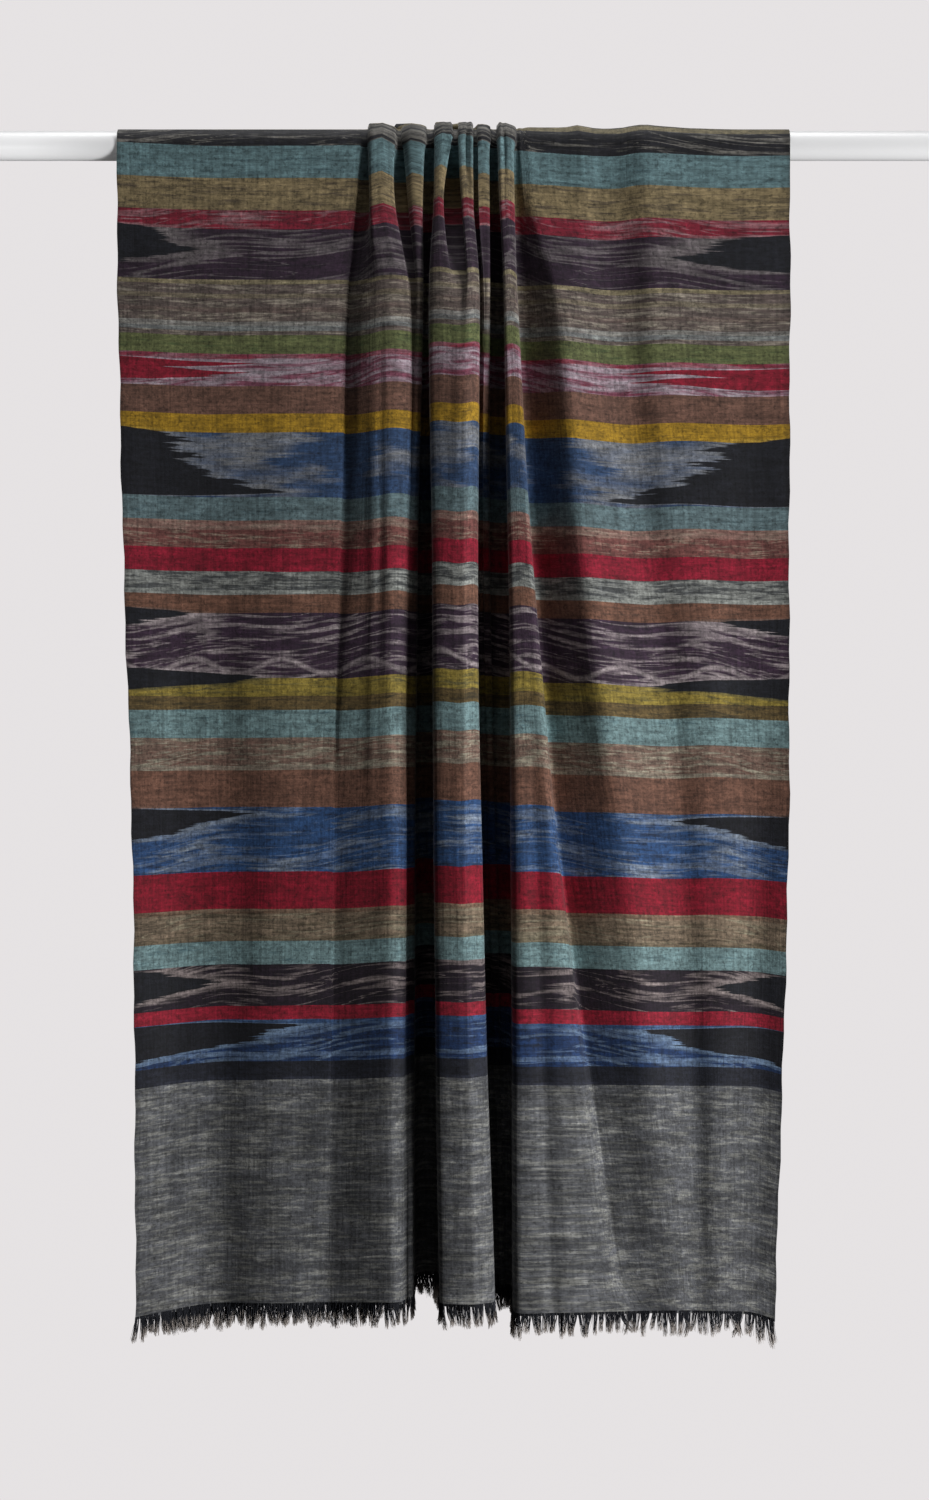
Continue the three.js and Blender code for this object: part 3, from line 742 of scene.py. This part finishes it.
# Garlands: from foot to foot, their depth, where their feet stand, and their thickness.
GARLAND_WIDTH, GARLAND_DEPTH, GARLAND_FOOT = 0.072, 0.012, 0.469
GARLAND_CORE, GARLAND_EDGE, GARLAND_SOLID = 0.0010, 0.0032, 0.8
# Both ends of the shawl are plain grey from here, with broader light and dark streaks. The last
# few millimetres of each selvedge are darkened as painted shade for the edge that curls back,
# and the weave stands up by THREAD_RELIEF.
GREY_END_FROM = 0.810
EDGE_SHADE_WIDTH, EDGE_PAINTED_SHADE = 0.0045, 0.65
THREAD_RELIEF = 0.00022


def linear(colour):
    """An sRGB colour, 0 to 255, as the linear light that a shader takes."""
    share = np.array(colour) / 255.0
    return tuple(np.where(share <= 0.04045, share / 12.92, ((share + 0.055) / 1.055) ** 2.4))


def ikat_cloth():
    """Weft stripes by the distance from the crest along the cloth. Every pick is a little different
    along its length, and an ikat's edges jump from pick to pick, so noise is drawn out along the
    weft and kept short along the warp."""
    cloth = Finish("striped_ikat_weave")
    uv = cloth.nodes.new("ShaderNodeUVMap")
    uv.uv_map = "UVMap"
    weft, warp, _ = cloth.parts(uv.outputs[0])
    reckon = cloth.reckon
    distance = reckon("ABSOLUTE", warp)
    from_middle = reckon("ABSOLUTE", weft)

    def streaks(across, along, seed, detail=2.0, roughness=0.5, on=(weft, warp)):
        """Noise with so many waves a metre across the cloth and along it."""
        vector = cloth.place(reckon("MULTIPLY", on[0], across), reckon("MULTIPLY", on[1], along), seed)
        return cloth.noise(vector, detail=detail, roughness=roughness)

    def off_centre(value, size):
        """A value of 0 to 1 as a distance of up to so much either way."""
        return reckon("MULTIPLY_ADD", value, 2 * size, -size)

    def spread(noise, low=0.3, high=0.7):
        """Noise drawn out so that it runs from 0 to 1 between low and high."""
        return cloth.between(low, high, noise)

    def drawn_line(core, edge, off):
        """1 up to so far off a line's middle, fading to 0 at its edge."""
        return reckon("SUBTRACT", 1.0, cloth.between(core, edge, off))

    edge_waver = off_centre(streaks(across=14, along=260, seed=7.7), EDGE_WAVER)
    place = reckon("ADD", distance, edge_waver)
    stops = [0.0] + [row[0] * MM for row in STRIPES[:-1]]

    def by_stripe(colours):
        """Each stripe's own value, from the crest to the hem."""
        return cloth.ramp(place, list(zip(stops, colours)), "CONSTANT")

    yarn = by_stripe([linear(row[1]) for row in STRIPES])
    fine = by_stripe([linear(row[2]) for row in STRIPES])
    tied = by_stripe([linear(row[4]) for row in STRIPES])
    shares = cloth.parts(by_stripe([(row[3], row[5], row[6]) for row in STRIPES]))

    def laid(noise, share, softness):
        """1 where the noise is in its highest share, with an edge of some softness."""
        level = reckon("MULTIPLY_ADD", share, NOISE_LEAST - NOISE_MOST, NOISE_MOST)
        return reckon("MULTIPLY_ADD", reckon("SUBTRACT", noise, level), 1 / softness, 0.5, clamp=True)

    def blended(first, share, second):
        """The first by its share, and the second by what is left."""
        rest = reckon("SUBTRACT", 1.0, share)
        return reckon("ADD", reckon("MULTIPLY", first, share), reckon("MULTIPLY", second, rest))

    long_picks = streaks(across=2.2, along=430, seed=1.3, detail=1.0)
    short_picks = streaks(across=48, along=400, seed=2.6, detail=3.0, roughness=0.7)
    fine_picks = laid(blended(long_picks, 0.12, short_picks), shares[0], softness=0.14)
    colour = cloth.mix(fine_picks, yarn, fine)

    # Where the ikat's dye ends differs from pick to pick: two noises, and a jump for each group of
    # so many picks a metre, each with the most that it moves the dye's end.
    tie_place = from_middle
    for jump, size in ((streaks(across=9, along=620, seed=3.1, detail=1.0), 0.010),
                       (streaks(across=38, along=900, seed=9.2), 0.007),
                       (cloth.chance(reckon("MULTIPLY", warp, 230)), 0.010),
                       (cloth.chance(reckon("MULTIPLY", warp, 760)), 0.005)):
        tie_place = reckon("ADD", tie_place, off_centre(jump, size))
    bow = reckon("MULTIPLY", reckon("SINE", reckon("MULTIPLY", from_middle, BOW_WAVES)), BOW)
    tilted = reckon("ADD", reckon("MULTIPLY_ADD", from_middle, SLANT, warp), bow)
    wisps = streaks(across=19, along=195, seed=4.0, detail=2.5, roughness=0.6, on=(tie_place, tilted))
    patches = streaks(across=17, along=34, seed=8.0, detail=1.5, on=(tie_place, warp))
    tie_mask = laid(blended(patches, shares[2], wisps), shares[1], softness=0.12)

    # Pale brush strokes run where a slow noise crosses its middle, broad in some patches and fine
    # in others.
    slow = streaks(across=6.5, along=95, seed=2.0, detail=1.0, on=(tie_place, tilted))
    crossing = reckon("ABSOLUTE", reckon("SUBTRACT", slow, 0.5))
    breadth = reckon("MULTIPLY_ADD", spread(patches, 0.40, 0.60), STROKE_BROADEST - STROKE_FINEST,
                    STROKE_FINEST)
    strokes = drawn_line(STROKE_CORE, STROKE_EDGE, reckon("DIVIDE", crossing, breadth))
    solid = reckon("MULTIPLY_ADD", shares[2], -STROKE_LOSS_IN_PATCHES, STROKE_SOLID)
    tie_mask = reckon("MAXIMUM", tie_mask, reckon("MULTIPLY", strokes, solid))

    # One row of pale garlands hangs in the lower aubergine ikat.
    garland = reckon("SINE", reckon("MULTIPLY", from_middle, math.pi / GARLAND_WIDTH))
    garland = reckon("MULTIPLY_ADD", reckon("MULTIPLY", garland, garland), -GARLAND_DEPTH, GARLAND_FOOT)
    off_garland = reckon("ABSOLUTE", reckon("SUBTRACT", place, garland))
    garland_line = drawn_line(GARLAND_CORE, GARLAND_EDGE, off_garland)
    tie_mask = reckon("MAXIMUM", tie_mask, reckon("MULTIPLY", garland_line, GARLAND_SOLID))

    # Tied yarn lies half as solid on some short stretches, and only where a stripe has ties.
    broken = reckon("MULTIPLY_ADD", spread(short_picks, 0.35, 0.65), 0.5, 0.5)
    has_ties = reckon("GREATER_THAN", shares[1], 0.01)
    tie_mask = reckon("MULTIPLY", reckon("MULTIPLY", tie_mask, has_ties), broken)
    colour = cloth.mix(tie_mask, colour, tied)

    def add_picks(colour, rows):
        """Lays the single picks over the colour, each broken up a little along its length."""
        ends = [(0.0, rows[0][2], 0.0)]
        for start, end, shade, solid in rows:
            ends += [(start * MM, shade, solid), (end * MM, shade, 0.0)]
        shade = cloth.ramp(place, [(at, linear(tone)) for at, tone, _ in ends], "CONSTANT")
        solid = cloth.ramp(place, [(at, (share,) * 3) for at, _, share in ends], "CONSTANT")
        return cloth.mix(reckon("MULTIPLY", solid, broken), colour, shade)

    colour = add_picks(add_picks(colour, UPPER_PICKS), LOWER_PICKS)

    def wedge_run(points):
        """How far a run of wedges reaches in, as a share of WEDGE_SCALE."""
        return cloth.ramp(distance, [(at * MM, (reach / WEDGE_SCALE,) * 3) for at, reach in points])

    reach = reckon("MULTIPLY", reckon("ADD", wedge_run(UPPER_WEDGES), wedge_run(LOWER_WEDGES)),
                  WEDGE_SCALE * MM)
    from_selvedge = reckon("SUBTRACT", HALF_WIDTH * MM, tie_place)
    inside = reckon("SUBTRACT", reach, from_selvedge)
    has_wedge = cloth.between(*LEAST_WEDGE, reach)
    halo = reckon("MULTIPLY", cloth.between(*HALO_EDGE, inside), has_wedge)
    halo = reckon("MULTIPLY", halo, broken)
    colour = cloth.mix(reckon("MULTIPLY", halo, HALO_SOLID), colour, tied)
    shades = [(at, linear(shade)) for at, shade in WEDGE_COLOURS]
    wedge = reckon("MULTIPLY", cloth.between(*WEDGE_EDGE, inside), has_wedge)
    colour = cloth.mix(wedge, colour, cloth.ramp(distance, shades, "CONSTANT"))

    # Thick and thin places along the weft, the dark warp between the picks, slow clouds of both,
    # flecks where a warp end comes up, the grain of the crossings, the broad streaks of the grey
    # end, and painted shade along each selvedge where its edge curls back: each with the light that
    # it gives at 0 and at 1.
    slub = spread(streaks(across=55, along=430, seed=5.5, detail=3.0, roughness=0.7))
    warp_lines = spread(streaks(across=430, along=20, seed=2.2, roughness=0.6))
    clouds = spread(streaks(across=90, along=110, seed=4.4, detail=3.0))
    flecks = spread(streaks(across=620, along=400, seed=6.6, detail=1.0), 0.56, 0.70)
    grain = spread(streaks(across=290, along=330, seed=7.3, roughness=0.75))
    broad = spread(streaks(across=16, along=95, seed=3.3, detail=3.0, roughness=0.65), 0.40, 0.72)
    broad = reckon("MULTIPLY", broad, reckon("GREATER_THAN", distance, GREY_END_FROM))
    # Painted shade: the last few millimetres of each selvedge are darkened, standing in for the shadow
    # of the edge that curls back.
    from_edge = reckon("SUBTRACT", HALF_WIDTH * MM, from_middle)
    body = cloth.between(0.0, EDGE_SHADE_WIDTH, from_edge)
    light = 1.0
    for pattern, at_none, at_full in ((slub, 0.65, 1.35), (warp_lines, 0.78, 1.22),
                                      (clouds, 0.82, 1.18), (flecks, 1.04, 0.62),
                                      (grain, 0.69, 1.31), (broad, 1.0, 1.95),
                                      (body, EDGE_PAINTED_SHADE, 1.0)):
        own_light = reckon("MULTIPLY_ADD", pattern, at_full - at_none, at_none)
        light = reckon("MULTIPLY", light, own_light)
    colour = cloth.mix(1.0, colour, cloth.place(light, light, light), blend="MULTIPLY")

    cloth.set(Base_Color=colour, Roughness=0.78, Specular_IOR_Level=0.25,
              Sheen_Weight=0.12, Sheen_Roughness=0.45)
    thread = reckon("ADD", reckon("MULTIPLY", slub, 0.8), reckon("MULTIPLY", warp_lines, 0.5))
    fuzz = streaks(across=500, along=1500, seed=1.9, detail=1.0)
    cloth.bump(reckon("ADD", thread, fuzz), distance=THREAD_RELIEF, strength=0.8)
    return cloth.material


shawl_middle = wave_selvedges(add_creases(shawl_surface()))
shawl_points, shawl_faces, shawl_flat = shell(shawl_middle, SHELL)
shawl = add_mesh("shawl_cloth", shawl_points * MM, shawl_faces, ikat_cloth(), sharp_angle=80,
                 uv=shawl_flat * MM)
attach(shawl, "root")
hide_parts("shawl_over_rod", "shawl_front_fall", "shawl_back_fall")


# ---- The fringes ----
# The warp ends left free at both hems, 15 to 20 mm of loose yarn. They cling together in uneven
# locks, near black where they leave the cloth and worn pale at their tips.

LOCK_PITCH = 4.4
YARNS_PER_LOCK = 28
YARN_STEPS = 6
YARN_SIDES = 3
YARN_RADIUS = 0.23
FRINGE_DROP = 16.8
ROOT_LAP = 2.2
SELVEDGE_INSET = 0.2
# How unevenly the locks stand, in millimetres: along the hem at their roots and at their tips, and
# off the cloth. Then the shortest and longest lock as shares of the drop, and the last locks at
# the right corner, which are longer.
ROOT_WANDER, TIP_WANDER, LOCK_LEAN = 1.1, 2.4, 1.0
LOCK_SHORTEST, LOCK_LONGEST = 0.80, 1.16
CORNER_LOCKS, CORNER_LENGTHENING = 4, 1.16
# The same for the yarns of a lock, whose roots fill its pitch and a little more, and whose tips
# draw together to between these shares of that.
ROOT_FILL, TIP_DRAWN, TIP_FULL = 1.05, 0.25, 1.0
YARN_WANDER, YARN_LEAN = 0.6, 0.5
YARN_SHORTEST, YARN_LONGEST = 0.82, 1.08
CURL_LEAST, CURL_MOST = 0.2, 1.1
YARN_THINNEST, YARN_THICKEST = 0.75, 1.3
# On the way from root to tip, a yarn is drawn along the hem and leans out by these powers of the
# way, curls by these radians, and thins by TAPER from ROOT_THICK.
PULL_POWER, LEAN_POWER = 1.6, 1.8
CURL_ALONG, CURL_OUT = 5, 6
ROOT_THICK, TAPER = 1.15, 0.6
# A yarn turns pale between these shares of its length, over a short blend. Its own tone comes from
# a noise of so many waves over all the yarns.
PALE_FROM, PALE_TO = 0.42, 0.97
PALE_BLEND = (-0.08, 0.12)
TONE_WAVES = 91.0
DARK_YARN = ((0.006, 0.007, 0.011, 1), (0.032, 0.034, 0.042, 1))
PALE_YARN = ((0.20, 0.17, 0.155, 1), (0.52, 0.47, 0.43, 1))


def yarn_ends():
    """Dyed dark for its first part and pale beyond a place that differs from yarn to yarn, read
    from (yarn's own number, place along the yarn)."""
    yarn = Finish("warp_yarn")
    uv = yarn.nodes.new("ShaderNodeUVMap")
    uv.uv_map = "UVMap"
    own, along, _ = yarn.parts(uv.outputs[0])
    turn = yarn.reckon("MULTIPLY_ADD", own, PALE_TO - PALE_FROM, PALE_FROM)
    pale = yarn.between(*PALE_BLEND, yarn.reckon("SUBTRACT", along, turn))
    tone = yarn.noise(yarn.place(yarn.reckon("MULTIPLY", own, TONE_WAVES), 0.0), detail=0.0)
    shades = yarn.mix(pale, yarn.mix(tone, *DARK_YARN), yarn.mix(tone, *PALE_YARN))
    yarn.set(Base_Color=shades, Roughness=0.85, Specular_IOR_Level=0.2)
    return yarn.material


def fringe_yarns(edge, seed):
    """Every yarn is a tube of three sides on a path from the hem: straight down, drawn towards its
    lock's own tip by a power of the way along, and curled by a sine and a cosine that grow with
    it. Edge is the hem's line of points. Gives points, quads, and each point's (yarn's number,
    place along the yarn)."""
    rng = np.random.default_rng(seed)
    steps = np.linalg.norm(np.diff(edge, axis=0), axis=1)
    length = np.concatenate([[0], np.cumsum(steps)])
    locks = int(length[-1] / LOCK_PITCH)
    lock_at = (np.arange(locks) + 0.5) / locks * length[-1]
    lock_at = lock_at + rng.uniform(-ROOT_WANDER, ROOT_WANDER, locks)
    lock_tip = lock_at + rng.normal(0, TIP_WANDER, locks)
    lock_drop = FRINGE_DROP * rng.uniform(LOCK_SHORTEST, LOCK_LONGEST, locks)
    lock_drop[-CORNER_LOCKS:] *= CORNER_LENGTHENING
    lock_out = rng.normal(0, LOCK_LEAN, locks)
    of = np.repeat(np.arange(locks), YARNS_PER_LOCK)
    count = len(of)
    in_lock = rng.uniform(-0.5, 0.5, count) * LOCK_PITCH * ROOT_FILL
    root_at = np.clip(lock_at[of] + in_lock, SELVEDGE_INSET, length[-1] - SELVEDGE_INSET)
    tip_at = lock_tip[of] + in_lock * rng.uniform(TIP_DRAWN, TIP_FULL, count)
    tip_at = tip_at + rng.normal(0, YARN_WANDER, count)

    def on_edge(at):
        """The points so far along the hem."""
        return np.stack([np.interp(at, length, edge[:, axis]) for axis in range(3)], axis=-1)

    root = on_edge(root_at)
    before, after = [np.clip(root_at + step, 0, length[-1]) for step in (-1, 1)]
    tangent = on_edge(after) - on_edge(before)
    tangent /= np.maximum(np.linalg.norm(tangent, axis=1, keepdims=True), 1e-6)
    side = np.cross(tangent, [0, 0, 1.0])
    t = np.linspace(0, 1, YARN_STEPS)[None, :, None]
    drop = (lock_drop[of] * rng.uniform(YARN_SHORTEST, YARN_LONGEST, count))[:, None, None]
    pull = (tip_at - root_at)[:, None, None]
    lean = (lock_out[of] + rng.normal(0, YARN_LEAN, count))[:, None, None]
    curl = rng.uniform(CURL_LEAST, CURL_MOST, count)[:, None, None]
    phase = rng.uniform(0, 2 * math.pi, count)[:, None, None]
    face = np.where(rng.uniform(0, 1, count) < 0.5, -1, 1)[:, None, None]
    off_cloth = face * (SHELL / 2 + YARN_RADIUS)
    along_hem = pull * t ** PULL_POWER + curl * np.sin(CURL_ALONG * t + phase) * t
    outwards = (off_cloth * (1 - t) + lean * t ** LEAN_POWER
                + curl * np.cos(CURL_OUT * t + phase) * t)
    path = (root[:, None, :] + (ROOT_LAP - t * (drop + ROOT_LAP)) * np.array([0, 0, 1.0])
            + tangent[:, None, :] * along_hem + side[:, None, :] * outwards)
    angle = np.linspace(0, 2 * math.pi, YARN_SIDES, endpoint=False)[None, None, :, None]
    thick = rng.uniform(YARN_THINNEST, YARN_THICKEST, count)[:, None, None, None]
    radius = YARN_RADIUS * (ROOT_THICK - TAPER * t[..., None]) * thick
    tube = (path[:, :, None, :]
            + radius * np.cos(angle) * tangent[:, None, None, :]
            + radius * np.sin(angle) * side[:, None, None, :])
    one = tube_quads(YARN_STEPS, YARN_SIDES)
    starts = np.arange(count)[:, None, None] * YARN_STEPS * YARN_SIDES
    own = np.broadcast_to(rng.uniform(0, 1, count)[:, None, None], tube.shape[:3])
    along = np.broadcast_to(t, tube.shape[:3])
    return tube, (one[None] + starts).reshape(-1, 4), np.stack([own, along], axis=-1)


for name, node, row, seed in (("fringe_yarns_front", "fringe_front", -1, 11),
                              ("fringe_yarns_back", "fringe_back", 0, 12)):
    yarn_points, yarn_faces, yarn_flat = fringe_yarns(shawl_middle[row], seed)
    fringe = add_mesh(name, yarn_points * MM, yarn_faces, yarn_ends(), sharp_angle=180, uv=yarn_flat)
    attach(fringe, "root")
    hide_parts(node)


# ---- The room ----
# A plain studio with pale walls and a dark floor well below the hem. A soft lamp stands level with
# the shawl on its right, another hangs over the rod, a third stands behind, and a small spot picks
# out the rod's left end.

FLOOR_DOWN = 1.6
FLOOR_RINGS = (0.001, 0.6, 1.2, 1.9)
FLOOR_SIDES = 96
FLOOR_COLOUR = (0.12, 0.115, 0.115, 1)
WALL_COLOUR = (0.79, 0.765, 0.772, 1)
WALL_GLOW = 0.003
CLOTH_MIDDLE = (0, 0, -0.5)
SPOT_BEAM = math.radians(5.2)


def floor_disc():
    """Points on rings about the foot of the shawl: x and y are the ring's radius times the cosine
    and sine of the angle."""
    radius = np.array(FLOOR_RINGS)[:, None]
    angle = np.linspace(0, 2 * math.pi, FLOOR_SIDES, endpoint=False)
    x, y = radius * np.cos(angle), radius * np.sin(angle)
    return np.stack([x, y, np.full(x.shape, -FLOOR_DOWN)], axis=-1)


floor_finish = Finish("dark_floor")
floor_finish.set(Base_Color=FLOOR_COLOUR, Roughness=0.85)
floor_grid = floor_disc()
floor = add_mesh("floor", floor_grid, tube_quads(*floor_grid.shape[:2]), floor_finish.material,
                 sharp_angle=180)


def hang_lamp(name, kind, place, target, power, **settings):
    """A lamp whose beam points at its target: tipped by the angle between straight up and the way
    back from the target, and turned to that way's bearing."""
    light = bpy.data.lights.new(name, kind)
    light.energy = power
    for setting, value in settings.items():
        setattr(light, setting, value)
    lamp = bpy.data.objects.new(name, light)
    lamp.location = place
    back = np.array(place) - np.array(target)
    tip = math.acos(back[2] / np.linalg.norm(back))
    lamp.rotation_euler = (tip, 0, math.atan2(back[1], back[0]) + math.pi / 2)
    bpy.context.collection.objects.link(lamp)


hang_lamp("key_lamp", "AREA", place=(2.3, -1.5, -0.95), target=CLOTH_MIDDLE, power=97,
          shape="DISK", size=0.93)
hang_lamp("rod_lamp", "AREA", place=(0.0, 0.0, 1.3), target=(0, 0, 0), power=24,
          shape="DISK", size=1.1)
hang_lamp("back_lamp", "AREA", place=(-1.7, 2.2, 0.6), target=CLOTH_MIDDLE, power=40,
          shape="DISK", size=1.4)
hang_lamp("rod_spot", "SPOT", place=(-1.25, -2.0, -0.75), target=(-0.392, 0, 0), power=104,
          spot_size=SPOT_BEAM, spot_blend=0.5, shadow_soft_size=0.06)

# The walls are seen at their full colour, and light the shawl hardly at all.
world = bpy.data.worlds.new("studio")
bpy.context.scene.world = world
world.use_nodes = True
nodes, links = world.node_tree.nodes, world.node_tree.links
nodes.clear()
seen = nodes.new("ShaderNodeBackground")
seen.inputs["Color"].default_value = WALL_COLOUR
glow = nodes.new("ShaderNodeBackground")
glow.inputs["Color"].default_value = WALL_COLOUR
glow.inputs["Strength"].default_value = WALL_GLOW
rays = nodes.new("ShaderNodeLightPath")
either = nodes.new("ShaderNodeMixShader")
result = nodes.new("ShaderNodeOutputWorld")
links.new(rays.outputs["Is Camera Ray"], either.inputs[0])
links.new(glow.outputs[0], either.inputs[1])
links.new(seen.outputs[0], either.inputs[2])
links.new(either.outputs[0], result.inputs["Surface"])
bpy.context.scene.view_settings.view_transform = "Standard"
